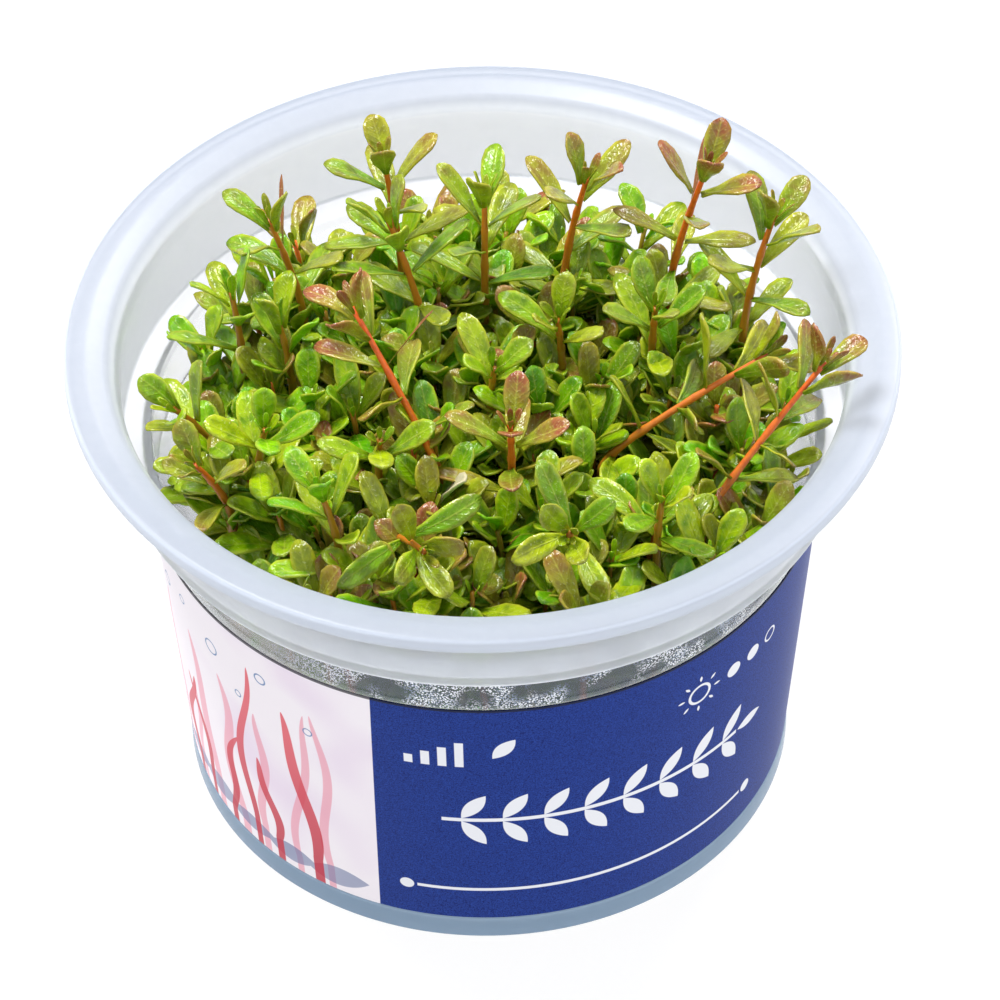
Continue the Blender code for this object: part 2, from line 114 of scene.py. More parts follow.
# Undergrowth
CLUMP_COUNT = 6
MIDDLE_RADIUS = 13.0 * MM
TOP_SPREAD = 35.5 * MM
TOP_CENTRE = Vector((1.5 * MM, -2.5 * MM, 0.0))
CANOPY_HEIGHT = 56.8 * MM
CANOPY_FALL = 2.5 * MM
LUMP_HEIGHT = 1.3 * MM
TIP_RISE = 1.6 * MM
CROWD_SEED = 7
CROWD_PITCH = 4.8 * MM
ROW_PITCH = 0.866 * CROWD_PITCH
CROWD_SPREAD = 36.0 * MM
CROWD_FLARE = 2.2 * MM
CROWD_JITTER = 1.5 * MM
CROWD_RISE = (-5.0 * MM, 3.2 * MM)
CROWD_LEAN = 3.5 * MM
CROWD_PAIRS = 6
CROWD_DEPTHS = (0.9 * MM, 2.9 * MM, 5.8 * MM, 9.4 * MM, 13.6 * MM, 18.4 * MM)
CROWD_BEND = 0.72
FOOT_GATHER = 0.93
CLUMP_SEED = 900

# Standing shoots
SHOOT_SEED = 500
BURIED_TIP = 2.0 * MM
STEM_HALF_WIDTH = 0.55 * MM
STEM_ASIDE = Vector((0.31, 0.95, 0.0))
STEM_JOINTS = 4.0
JOINT_SWELLING = 0.22
LEAF_LENGTH = 7.0 * MM
LEAF_WIDTH = 2.8 * MM
LEAF_DROOP = 0.12
LEAF_CLEARANCE = 1.3 * MM
CANOPY_CLEARANCE = 0.5 * MM
CUP_CLEARANCE = 0.9 * MM
PAIR_DEPTHS = (1.3 * MM, 4.0 * MM, 7.8 * MM, 12.4 * MM, 17.4 * MM, 22.6 * MM, 27.8 * MM)
PAIR_ANGLES = (24.0, 40.0, 56.0, 66.0, 72.0, 76.0, 78.0)
PAIR_LENGTHS = (0.62, 0.86, 1.0, 1.04, 1.0, 0.95, 0.9)
ANGLE_SPREAD = 7.0
SWING_SPREAD = 8.0
LENGTH_SPREAD = 0.08
LEAF_TEST_STOPS = (0.3, 0.5, 0.7, 0.85, 1.0)
LEAF_SHIFTS = (
    (0, 0, 1.0), (14, 0, 1.0), (-14, 0, 1.0), (0, -12, 1.0), (0, 12, 1.0), (28, 0, 0.95),
    (-28, 0, 0.95), (14, -14, 0.9), (-14, -14, 0.9), (0, 0, 0.75), (20, 0, 0.7), (-20, 0, 0.7),
)

# A leaf's half width along its length, as shares of the whole, and how far its end is rounded back
LEAF_OUTLINE = ((0.0, 0.2), (0.26, 0.5), (0.5, 0.88), (0.7, 1.0), (0.87, 0.88), (1.0, 0.56))
LEAF_CELLS_ACROSS = 4
TIP_ROUNDING = 0.05
LEAF_BLADE = 0.22 * MM
LEAF_FORMS = 12
LEAF_SEED = 100
SHOOT_GROWTH = (1.55, 1.4, 1.3, 1.25, 1.2, 1.2, 1.2)
CROWD_GROWTH = (1.5, 1.42, 1.34, 1.26, 1.2, 1.2)
GROWTH_TRIES = (1.0, 0.9, 0.8, 0.7, 0.6)
NARROWING = 0.8
LEAF_RATIO = 2.8
# Each pair of bud leaves: how far below the tip, its size as a share of a leaf's, and its angle
BUD_SIZES = ((0.5 * MM, 0.36, 12.0), (0.2 * MM, 0.24, 8.0))
BUD_SWING = 0.2
BUD_OFFSET = 0.3 * MM
BUD_NARROWING = 0.9
# Which leaf of which standing shoot has withered to a brown thread
WITHERED = ((1, 3), (4, 5), (11, 4))
WITHERED_WIDTH = 0.24
WITHERED_TONE = (2.0, 0.0, 0.0, 1.0)
# The short shoots' leaf whose tip stands within this reach of this place has died and faded to cream
FADED_TIP = Vector((-2.3, -21.5, 62.8)) * MM
FADED_REACH = 2.0 * MM


class Shoot(NamedTuple):
    """A standing shoot, with its places in millimetres."""

    exit: tuple  # where its stem leaves the undergrowth, (x, y)
    tip: tuple  # (x, y, z)
    rise: float  # how far it climbs upright before it leans, as a share of its reach
    pairs: int
    compass: float  # direction of its top leaf pair, in degrees
    blush: float  # how brown or pink its young leaves are, 0 to 1


SHOOTS = (
    Shoot((-9.5, 18.0), (-11.5, 19.2, 77.0), 0.45, 4, 100.0, 0.55),
    Shoot((-21.5, 13.5), (-25.5, 15.3, 71.0), 0.40, 4, 150.0, 0.35),
    Shoot((-28.8, 5.0), (-30.0, 6.8, 67.0), 0.50, 3, 200.0, 0.2),
    Shoot((-32.0, -8.5), (-36.6, -10.4, 64.5), 0.45, 3, 120.0, 0.25),
    Shoot((-5.2, -13.0), (-15.2, -4.6, 75.0), 0.10, 5, 160.0, 0.9),
    Shoot((0.4, 13.0), (0.6, 15.3, 74.5), 0.50, 4, 70.0, 0.35),
    Shoot((-6.6, 9.0), (-11.0, 11.6, 74.0), 0.30, 4, 20.0, 0.4),
    Shoot((-23.0, 2.5), (-24.4, 4.0, 65.0), 0.50, 3, 60.0, 0.2),
    Shoot((-27.0, -14.0), (-25.6, -16.2, 66.5), 0.50, 3, 100.0, 0.15),
    Shoot((-30.0, -17.5), (-34.0, -18.8, 63.5), 0.35, 2, 80.0, 0.6),
    Shoot((10.0, 18.5), (13.0, 18.0, 74.5), 0.40, 4, 140.0, 0.65),
    Shoot((22.5, 15.0), (27.2, 13.8, 79.5), 0.35, 5, 80.0, 0.85),
    Shoot((31.5, 8.8), (35.2, 10.2, 75.0), 0.45, 4, 45.0, 0.5),
    Shoot((25.5, -20.5), (40.2, -11.2, 71.0), 0.12, 4, 30.0, 0.8),
    Shoot((14.0, -11.5), (33.6, -8.2, 69.5), 0.14, 4, 0.0, 0.6),
    Shoot((3.2, -17.4), (3.1, -18.8, 69.0), 0.60, 3, 85.0, 0.85),
    Shoot((-11.2, -24.0), (-7.2, -34.8, 64.5), 0.30, 4, 50.0, 0.45),
    Shoot((10.4, -26.0), (9.6, -34.0, 66.0), 0.40, 4, 110.0, 0.3),
    Shoot((20.0, -26.0), (20.6, -27.8, 65.5), 0.50, 3, 140.0, 0.2),
    Shoot((-17.0, -27.0), (-19.4, -26.2, 66.5), 0.50, 3, 120.0, 0.15),
    Shoot((-12.6, -14.8), (-12.2, -17.0, 65.0), 0.50, 3, 95.0, 0.3),
    Shoot((9.6, 3.6), (9.0, 2.2, 66.0), 0.50, 3, 60.0, 0.3),
    Shoot((0.8, -3.6), (1.4, -5.0, 65.0), 0.50, 3, 30.0, 0.25),
    Shoot((20.4, 4.8), (20.8, 3.4, 66.5), 0.50, 3, 110.0, 0.3),
)


class Leaf(NamedTuple):
    """A leaf's place on its stem and its size."""

    pair: int  # which pair it belongs to, 0 for the one at the tip
    base: Vector
    direction: Vector
    upper: Vector  # which way its upper side faces
    length: float
    width: float


class Stem(NamedTuple):
    radius: float
    redness: float
    steps: int
    sides: int


class Lamp(NamedTuple):
    name: str
    place: tuple
    size: float
    power: float


LAMPS = (
    Lamp("key", (-0.3, 0.15, 0.95), 0.3, 13.0),
    Lamp("fill", (0.7, -0.5, 0.5), 0.6, 1.2),
    Lamp("back", (0.35, 0.6, 0.75), 0.22, 6.0),
)
LAMP_TARGET = Vector((0.0, 0.0, 0.04))
WORLD_STRENGTH = 0.7


class Value:
    """A shader socket that can be written in a sum."""

    def __init__(self, surface, socket):
        self.surface = surface
        self.socket = socket

    def sum(self, operation, *values):
        made = self.surface.node("ShaderNodeMath", {"operation": operation}, dict(enumerate(values)))
        return Value(self.surface, made.outputs[0])

    def __add__(self, other):
        return self.sum("ADD", self, other)

    def __radd__(self, other):
        return self.sum("ADD", other, self)

    def __sub__(self, other):
        return self.sum("SUBTRACT", self, other)

    def __rsub__(self, other):
        return self.sum("SUBTRACT", other, self)

    def __mul__(self, other):
        return self.sum("MULTIPLY", self, other)

    def __rmul__(self, other):
        return self.sum("MULTIPLY", other, self)

    def __truediv__(self, other):
        return self.sum("DIVIDE", self, other)

    def __pow__(self, other):
        return self.sum("POWER", self, other)

    def __abs__(self):
        return self.sum("ABSOLUTE", self)

    def sine(self):
        return self.sum("SINE", self)

    def cosine(self):
        return self.sum("COSINE", self)

    def angle(self, other):
        """The angle whose tangent is this value over the other one."""
        return self.sum("ARCTAN2", self, other)

    def wrapped(self, lowest, highest):
        """The value brought between two bounds by whole steps of their distance."""
        return self.sum("WRAP", self, highest, lowest)

    def lower(self, other):
        return self.sum("MINIMUM", self, other)

    def higher(self, other):
        return self.sum("MAXIMUM", self, other)

    def held(self):
        """The value kept between 0 and 1."""
        return self.sum("MINIMUM", self.sum("MAXIMUM", self, 0.0), 1.0)

    def ramp(self, start, width):
        """0 up to the start, then rising evenly to 1 over the width."""
        return ((self - start) / width).held()


class Surface:
    """A material being made, with the place and pattern nodes that it reads."""

    def __init__(self, name):
        self.material = bpy.data.materials.new(name)
        self.material.use_nodes = True
        self.tree = self.material.node_tree
        self.tree.nodes.clear()

    def node(self, kind, settings=None, inputs=None):
        made = self.tree.nodes.new(kind)
        for key, value in (settings or {}).items():
            setattr(made, key, value)
        for key, value in (inputs or {}).items():
            if isinstance(value, Value):
                self.tree.links.new(value.socket, made.inputs[key])
            else:
                made.inputs[key].default_value = value
        return made

    def out(self, kind, settings=None, inputs=None, output=0):
        return Value(self, self.node(kind, settings, inputs).outputs[output])

    def place(self):
        """The point on the object, as its X, Y and Z."""
        point = self.out("ShaderNodeTexCoord", output="Object")
        parts = self.node("ShaderNodeSeparateXYZ", inputs={0: point})
        return point, [Value(self, socket) for socket in parts.outputs]

    def speckle(self, point, scale, detail=1.0):
        return self.out("ShaderNodeTexNoise", inputs={
            "Vector": point, "Scale": scale, "Detail": detail, "Roughness": 0.5,
        }, output="Fac")

    def mix(self, first, second, factor):
        """A colour between two colours."""
        return self.out("ShaderNodeMix", {"data_type": "RGBA"}, {
            "Factor": factor, 6: first, 7: second,
        }, output=2)

    def blend(self, first, second, factor):
        """A shader between two shaders."""
        return self.out("ShaderNodeMixShader", inputs={0: factor, 1: first, 2: second})

    def bump(self, height, strength, distance):
        return self.out("ShaderNodeBump", inputs={
            "Strength": strength, "Distance": distance, "Height": height,
        })

    def principled(self, inputs):
        return self.out("ShaderNodeBsdfPrincipled", inputs=inputs)

    def finish(self, shader, lights_others=True):
        self.node("ShaderNodeOutputMaterial", inputs={"Surface": shader})
        if not lights_others:
            self.material.cycles.emission_sampling = "NONE"
        return self.material


def colour(red, green, blue):
    """A colour given in the 0 to 255 of a screen."""
    return tuple(((part / 255.0 + 0.055) / 1.055) ** 2.4 for part in (red, green, blue)) + (1.0,)


def clouded_plastic():
    """Frosted plastic: milky at the rim and collar, clearer on the wall, with beads of damp at its front. It
    also carries painted light: a painted glow over the milky part, a lip painted lighter, a painted
    highlight along the collar's bottom edge, painted shade at the foot band, and painted shade on the clear
    wall above the label at its front.
    """
    surface = Surface("clouded_plastic")
    point, (x, y, z) = surface.place()
    out = (x ** 2.0 + y ** 2.0) ** 0.5
    foot = 1.0 - z.ramp(FOOT_BAND_TOP, 0.2 * MM)
    above_label = z.ramp(LABEL_TOP - 0.3 * MM, 0.3 * MM)
    rim = z.ramp(COLLAR_BOTTOM - 0.6 * MM, 0.5 * MM)
    wall_above = above_label * (1.0 - rim)
    flange = z.ramp(COLLAR_TOP + 0.5 * MM, 1.0 * MM)
    lip = out.ramp(RIM_RADIUS - 0.45 * MM, 0.3 * MM) * flange
    outside = out.ramp(COLLAR_RADIUS - 0.5 * MM, 0.1 * MM)
    # A painted highlight: a bright band along the outside of the collar's bottom edge
    highlit_edge = (1.0 - abs(z - (COLLAR_BOTTOM + 0.25 * MM)) / (0.4 * MM)).held() * outside
    haze = surface.speckle(point, HAZE_SCALE)
    cells = surface.node("ShaderNodeTexVoronoi", inputs={"Vector": point, "Scale": BEAD_SCALE})
    beads = ((0.5 - Value(surface, cells.outputs["Distance"])) * 8.0).held()
    front = (x * 0.25 - y).ramp(BEAD_AND_SHADE_FRONT, BEAD_AND_SHADE_FADE)
    patches = surface.speckle(point, BEAD_PATCH_SCALE).ramp(0.44, 0.111) * front
    tone = surface.mix(colour(188, 192, 198), colour(176, 181, 190), haze)
    tone = surface.mix(tone, colour(122, 129, 143), flange)
    # Painted light: the lip's outer face is painted lighter than the darker flange top
    tone = surface.mix(tone, colour(172, 180, 195), lip)
    # Painted highlight on the collar's bottom edge, and the beads of damp above the label
    tone = surface.mix(tone, colour(240, 243, 247), highlit_edge.higher(wall_above * beads))
    # Painted shade: the foot band's milky tone is darkened to grey-blue
    tone = surface.mix(tone, colour(120, 146, 170), foot * 0.85)
    # Painted glow: the milky part has an even emission, dimmer and grey-blue at the foot band, standing in
    # for light passing through the frosted plastic
    milky = surface.principled({
        "Base Color": tone,
        "Roughness": 0.42,
        "IOR": 1.45,
        "Emission Color": surface.mix(colour(175, 181, 190), colour(99, 123, 144), foot),
        "Emission Strength": 0.5,
    })
    # Painted shade: the clear wall above the label is tinted darker towards the front
    clear_tone = surface.mix(colour(251, 252, 254), colour(140, 156, 182), wall_above * front)
    clear = surface.principled({
        "Base Color": surface.mix(clear_tone, colour(190, 208, 226), foot),
        "Roughness": 0.14 + rim * 0.2 + haze * 0.08,
        "Transmission Weight": 0.96,
        "IOR": 1.3,
    })
    wall = 0.12 + foot * 0.36 + above_label * (beads * patches * 0.75 - 0.08)
    collar = 0.05 + outside * 0.3 + highlit_edge * 0.5 + flange * 0.2 + lip * 0.15 + haze * 0.08
    milk = wall * (1.0 - rim) + collar * rim
    return surface.finish(surface.blend(clear, milky, milk), lights_others=False)


def inked(inside):
    """A print mask from how far a point lies inside a shape, in millimetres, with a softened edge."""
    return (inside / PRINT_EDGE).held()


class Print:
    """Flat shapes on the label, in millimetres along and up it, each as a mask from 0 to 1."""

    def __init__(self, along, up):
        self.along = along
        self.up = up

    def gap(self, across, height):
        """The distance to a point."""
        return ((self.along - across) ** 2.0 + (self.up - height) ** 2.0) ** 0.5

    def disc(self, across, height, radius):
        return inked(radius - self.gap(across, height))

    def ring(self, across, height, radius, line):
        return inked(0.5 * line - abs(self.gap(across, height) - radius))

    def bar(self, across, height, width, depth):
        sideways = 0.5 * width - abs(self.along - across)
        upward = 0.5 * depth - abs(self.up - height)
        return inked(sideways.lower(upward))

    def leaf(self, across, height, length, width, angle=0.0):
        turn = math.radians(angle)
        right = self.along - across
        above = self.up - height
        lengthwise = right * math.cos(turn) + above * math.sin(turn)
        sideways = above * math.cos(turn) - right * math.sin(turn)
        edge = 0.5 * width * (1.0 - (lengthwise * (2.0 / length)) ** 2.0)
        return inked(edge - abs(sideways))

    def ribbon(self, across, foot, height, bend, sway, phase, width):
        """A waving band that tapers upwards."""
        climb = self.up.ramp(foot, height)
        middle = across + climb * climb * bend + (climb * 7.0 + phase).sine() * sway
        edge = ((1.0 - climb) * (climb + 0.25)) ** 0.5 * width
        return inked(edge - abs(self.along - middle))


def joined(shapes):
    """Several masks as one."""
    total = shapes[0]
    for shape in shapes[1:]:
        total = total.higher(shape)
    return total


def twig(label):
    """A level twig with an end leaf and eight pairs, which are one leaf drawn on the folded label."""
    height = 23.0
    pitch = 5.0
    first = -2.1
    folded = Print(label.along.wrapped(first - 0.5 * pitch, first + 0.5 * pitch), abs(label.up - height))
    window = label.bar(first + 3.5 * pitch, height, 8.0 * pitch, 12.0)
    pairs = folded.leaf(first, 2.5, 5.4, 2.1, 56.0).lower(window)
    return [label.bar(14.0, height, 40.0, 0.7), pairs, label.leaf(36.6, height, 4.8, 1.8)]


def sun(label):
    """A ring with eight rays, which are one ray drawn on the label folded round the ring's middle."""
    across = 26.4
    height = 36.2
    out = label.gap(across, height)
    turn = (label.up - height).angle(label.along - across).wrapped(-math.pi / 8.0, math.pi / 8.0)
    folded = Print(out * turn.cosine(), out * turn.sine())
    return [label.ring(across, height, 1.5, 0.45), folded.leaf(2.7, 0.0, 1.1, 0.45)]


def ruled_line(label):
    """A level line with a dot beyond each end."""
    middle = 13.5
    height = 9.2
    reach = 23.0
    dots = [label.disc(middle + side * (reach + 1.3), height, 0.95) for side in (-1.0, 1.0)]
    return [label.bar(middle, height, 2.0 * reach, 0.6), *dots]


def white_marks(label):
    """The marks on the blue field."""
    marks = ruled_line(label) + twig(label) + sun(label)
    for step, tall in enumerate((1.6, 2.6, 3.6, 4.6)):
        marks += [label.bar(-9.6 + 2.0 * step, 33.2 + 0.5 * tall, 1.1, tall)]
    marks += [label.leaf(1.6, 36.6, 4.4, 2.0, 52.0)]
    marks += [label.disc(32.0, 36.2, 1.15), label.disc(35.6, 36.2, 1.15), label.ring(39.2, 36.2, 1.0, 0.35)]
    return joined(marks)


def panel_ink(surface, point, label):
    """The white panel's print: two rows of coral ribbons over pebbles, and bubbles."""
    chance = random.Random(PRINT_SEED)
    rows = ([], [])
    for step in range(RIBBON_COUNT):
        rows[step % 2].append(label.ribbon(
            across=-21.0 - RIBBON_PITCH * step + chance.uniform(-0.9, 0.9),
            foot=chance.uniform(6.0, 9.0),
            height=chance.uniform(13.0, 30.0),
            bend=chance.uniform(-4.0, 4.0),
            sway=chance.uniform(0.4, 1.1),
            phase=chance.uniform(0.0, 6.0),
            width=chance.uniform(1.0, 1.7),
        ))
    rear, front = (joined(row) for row in rows)
    pebbles = joined([
        label.leaf(
            across=-20.5 - PEBBLE_PITCH * step,
            height=chance.uniform(6.2, 7.4),
            length=chance.uniform(6.0, 9.5),
            width=chance.uniform(2.6, 4.0),
            angle=chance.uniform(-5.0, 5.0),
        )
        for step in range(PEBBLE_COUNT)
    ])
    bubbles = joined([label.ring(*bubble) for bubble in BUBBLES])
    wash = surface.speckle(point, WASH_SCALE)
    coral = surface.mix(colour(196, 44, 66), colour(226, 92, 104), label.up.ramp(8.0, 22.0))
    ink = surface.mix(colour(246, 240, 246), colour(236, 222, 238), wash.ramp(0.45, 0.25))
    ink = surface.mix(ink, colour(236, 150, 170), rear * 0.7)
    ink = surface.mix(ink, colour(112, 128, 168), pebbles * (0.4 + wash * 0.7))
    ink = surface.mix(ink, coral, front * 0.92)
    return surface.mix(ink, colour(120, 146, 186), bubbles)


def printed_film():
    """The label's outside: a deep blue field with white marks, and a white panel, under a dark trim line."""
    surface = Surface("printed_film")
    point, (x, y, z) = surface.place()
    azimuth = x.angle(0.0 - y) * math.degrees(1.0)
    label = Print(azimuth * PRINT_SPREAD, z / MM)
    label_top = LABEL_TOP / MM
    weave = surface.speckle(point, WEAVE_SCALE)
    deep = surface.mix(colour(2, 24, 94), colour(36, 70, 160), weave.ramp(0.273, 0.4545))
    field_ink = surface.mix(deep, colour(236, 238, 244), white_marks(label))
    edge = azimuth - PANEL_EDGE + (1.0 - label.up / label_top) * PANEL_LEAN
    on_panel = (0.0 - edge).ramp(0.0, 0.1) * edge.ramp(-PANEL_SPAN, 0.1)
    trim = label.up.ramp(label_top - TRIM_DEPTH, 0.05) * 0.85
    field, panel = (
        surface.principled({
            "Base Color": surface.mix(ink, colour(30, 34, 44), trim),
            "Roughness": 0.5,
            "Specular IOR Level": 0.06,
            "Sheen Weight": 0.12,
            "Sheen Roughness": 0.4,
        })
        for ink in (field_ink, panel_ink(surface, point, label))
    )
    return surface.finish(surface.blend(field, panel, on_panel))


def film_back():
    """The label's plain white back, which shows through the cup's wall. It has a painted glow, an even white
    emission standing in for the light that comes through the label.
    """
    surface = Surface("film_back")
    point, _ = surface.place()
    cloud = surface.speckle(point, 120.0)
    return surface.finish(surface.principled({
        "Base Color": surface.mix(colour(244, 244, 247), colour(238, 238, 242), cloud),
        "Roughness": 0.6,
        # Painted glow: emission in place of light passing through the label
        "Emission Color": (1.0, 1.0, 1.0, 1.0),
        "Emission Strength": 1.0,
    }), lights_others=False)


def nutrient_gel():
    """The clear, slightly cloudy gel that the stems stand in."""
    surface = Surface("nutrient_gel")
    point, _ = surface.place()
    cloud = surface.speckle(point, 180.0)
    return surface.finish(surface.principled({
        "Base Color": surface.mix(colour(205, 203, 178), colour(184, 184, 150), cloud),
        "Roughness": 0.12 + cloud * 0.1,
        "IOR": 1.34,
        "Transmission Weight": 0.7,
        "Normal": surface.bump(cloud, 0.2, 0.4 * MM),
    }))


class LeafPlan(NamedTuple):
    """What a point on a leaf or stem knows of itself."""

    along: Value
    across: Value
    blush: Value
    youth: Value
    shade: Value
    alive: Value


def leaf_plan(surface):
    flat = surface.out("ShaderNodeUVMap", {"uv_map": "leaf_plan"})
    places = surface.node("ShaderNodeSeparateXYZ", inputs={0: flat})
    tone = surface.node("ShaderNodeAttribute", {"attribute_name": "tone"})
    shares = surface.node("ShaderNodeSeparateColor", inputs={0: Value(surface, tone.outputs["Color"])})
    sockets = (*places.outputs[:2], *shares.outputs, tone.outputs["Alpha"])
    return LeafPlan(*(Value(surface, socket) for socket in sockets))


def leaf_skin():
    """A glossy leaf that lets light through, green to brown by its tone, with a pale rib and margin, and
    pale flecks that are painted glints.
    """
    surface = Surface("rotala_leaf")
    point, _ = surface.place()
    leaf = leaf_plan(surface)
    mottle = surface.speckle(point, 700.0, 2.0)
    fine = surface.speckle(point, 3200.0)
    off_middle = abs(leaf.across - 0.5) * 2.0
    rib = (1.0 - off_middle / 0.12).held() * (1.0 - leaf.along * 0.6)
    veins = ((leaf.along * 52.0 - off_middle * 12.0).sine() - 0.35).held() * (1.0 - off_middle * 0.6)
    margin = off_middle.ramp(0.7, 0.25)
    flush = (leaf.blush * (leaf.along * 0.9 + 0.25) * (mottle * 0.8 + 0.6)).held()
    tone = surface.mix(colour(38, 130, 0), colour(140, 216, 0), leaf.youth)
    tone = surface.mix(tone, colour(220, 212, 0), leaf.shade * 0.5)
    tone = surface.mix(tone, colour(30, 110, 0), mottle.ramp(0.42, 0.25) * 0.65)
    tone = surface.mix(tone, colour(140, 74, 44), flush)
    tone = surface.mix(tone, colour(212, 218, 84), rib * 0.5 + veins * 0.16)
    tone = surface.mix(tone, colour(222, 212, 66), margin * 0.42 * (1.0 - flush * 0.7))
    # Painted glints: small pale flecks scattered over the leaf
    tone = surface.mix(tone, colour(226, 232, 150), fine.ramp(0.63, 0.143) * 0.4)
    tone = surface.mix(tone, colour(236, 214, 196), (1.0 - leaf.alive) * (0.8 + rib * 0.2))
    body = surface.principled({
        "Base Color": tone,
        "Roughness": 0.16 + mottle * 0.14,
        "Specular IOR Level": 0.6,
        "Normal": surface.bump(fine * 0.7 + rib * 0.9 + veins * 0.5, 0.5, 0.2 * MM),
    })
    glow = surface.out("ShaderNodeBsdfTranslucent", inputs={"Color": colour(156, 216, 2)})
    return surface.finish(surface.blend(body, glow, 0.3 - flush * 0.24))


def stem_skin():
    """A stem, greenish to orange-red by its tone, with streaks."""
    surface = Surface("rotala_stem")
    point, _ = surface.place()
    stem = leaf_plan(surface)
    streak = surface.speckle(point, 1500.0)
    tone = surface.mix(colour(126, 122, 20), colour(228, 96, 20), (stem.blush * 1.1).held())
    tone = surface.mix(tone, colour(176, 50, 8), streak.ramp(0.4, 0.333) * stem.blush * 0.7)
    return surface.finish(surface.principled({
        "Base Color": tone,
        "Roughness": 0.3 + streak * 0.15,
        "Coat Weight": 0.3,
        "Coat Roughness": 0.15,
        "Normal": surface.bump(streak, 0.3, 0.1 * MM),
    }))


def pale_floor():
    """The plain white sheet that the cup stands on, lit from below as well."""
    surface = Surface("pale_floor")
    matte = surface.out("ShaderNodeBsdfDiffuse", inputs={"Color": colour(95, 95, 98)})
    glow = surface.out("ShaderNodeEmission", inputs={"Color": (1.0, 1.0, 1.0, 1.0), "Strength": 0.92})
    return surface.finish(surface.out("ShaderNodeAddShader", inputs={0: matte, 1: glow}))


def piece_from(bm, name, materials, smooth_angle=None):
    bmesh.ops.recalc_face_normals(bm, faces=bm.faces[:])
    mesh = bpy.data.meshes.new(name)
    bm.to_mesh(mesh)
    bm.free()
    mesh.shade_smooth()
    if smooth_angle is not None:
        mesh.set_sharp_from_angle(angle=math.radians(smooth_angle))
    for material in materials:
        mesh.materials.append(material)
    item = bpy.data.objects.new(name, mesh)
    bpy.context.scene.collection.objects.link(item)
    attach(item, "root")
    return item


def wall_radius(height):
    return WALL_FOOT_RADIUS + WALL_TAPER * (height - FOOT_BAND_TOP)


def inner_radius(height):
    if height > COLLAR_BOTTOM + WALL_THICKNESS:
        return COLLAR_RADIUS - WALL_THICKNESS
    return wall_radius(height) - WALL_THICKNESS


def cup_outline():
    """The cup's section, from the middle of its underside, up the outside, over the rim and down inside.

    Each point is a radius, a height and how far its corner is rounded."""
    collar_inner = COLLAR_RADIUS - WALL_THICKNESS
    ledge = COLLAR_BOTTOM + WALL_THICKNESS
    lip_inner = RIM_RADIUS - WALL_THICKNESS
    return [
        (0.0, FOOT_RECESS, 0.0),
        (FOOT_INNER_RADIUS, FOOT_RECESS, FINE_ROUNDING),
        (FOOT_INNER_RADIUS, 0.0, FINE_ROUNDING),
        (FOOT_OUTER_RADIUS, 0.0, FINE_ROUNDING),
        (FOOT_OUTER_RADIUS, FOOT_BAND_TOP, FINE_ROUNDING),
        (WALL_FOOT_RADIUS, FOOT_BAND_TOP, FINE_ROUNDING),
        (wall_radius(COLLAR_BOTTOM), COLLAR_BOTTOM, ROUNDING),
        (COLLAR_RADIUS, COLLAR_BOTTOM, ROUNDING),
        (COLLAR_RADIUS, COLLAR_TOP, ROUNDING),
        (lip_inner, RIM_TOP - RIM_THICKNESS, FINE_ROUNDING),
        (lip_inner, LIP_BOTTOM, FINE_ROUNDING),
        (RIM_RADIUS, LIP_BOTTOM, FINE_ROUNDING),
        (RIM_RADIUS, RIM_TOP - 0.1 * MM, ROUNDING),
        (RIM_RADIUS - 2.6 * MM, RIM_TOP, ROUNDING),
        (RIM_INNER_RADIUS + 0.5 * MM, RIM_TOP - 1.0 * MM, ROUNDING),
        (RIM_INNER_RADIUS - 0.6 * MM, RIM_TOP - 2.6 * MM, ROUNDING),
        (collar_inner, COLLAR_TOP - 1.4 * MM, ROUNDING),
        (collar_inner, ledge, ROUNDING),
        (inner_radius(COLLAR_BOTTOM), ledge, FINE_ROUNDING),
        (inner_radius(FLOOR_TOP), FLOOR_TOP, ROUNDING),
        (0.0, FLOOR_TOP, 0.0),
    ]


def rounded_profile(bm, outline, facing):
    """A wire of the outline's points with its corners rounded, standing in the facing direction."""
    verts = [bm.verts.new(facing * out + Vector((0.0, 0.0, up))) for out, up, _ in outline]
    for pair in zip(verts, verts[1:]):
        bm.edges.new(pair)
    for radius in (FINE_ROUNDING, ROUNDING):
        corners = [vert for vert, (_, _, rounding) in zip(verts, outline) if rounding == radius]
        bmesh.ops.bevel(
            bm, geom=corners, offset=radius, offset_type="OFFSET", affect="VERTICES", segments=4,
            profile=0.5, material=-1, clamp_overlap=True,
        )


def make_cup(material):
    bm = bmesh.new()
    rounded_profile(bm, cup_outline(), Vector((0.0, 1.0, 0.0)))
    bmesh.ops.spin(
        bm, geom=bm.verts[:] + bm.edges[:], cent=(0, 0, 0), axis=(0, 0, 1), angle=math.tau,
        steps=CUP_STEPS, use_merge=True,
    )
    bmesh.ops.remove_doubles(bm, verts=bm.verts[:], dist=1e-6)
    cup = piece_from(bm, "culture_cup", [material])
    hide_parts("cup")


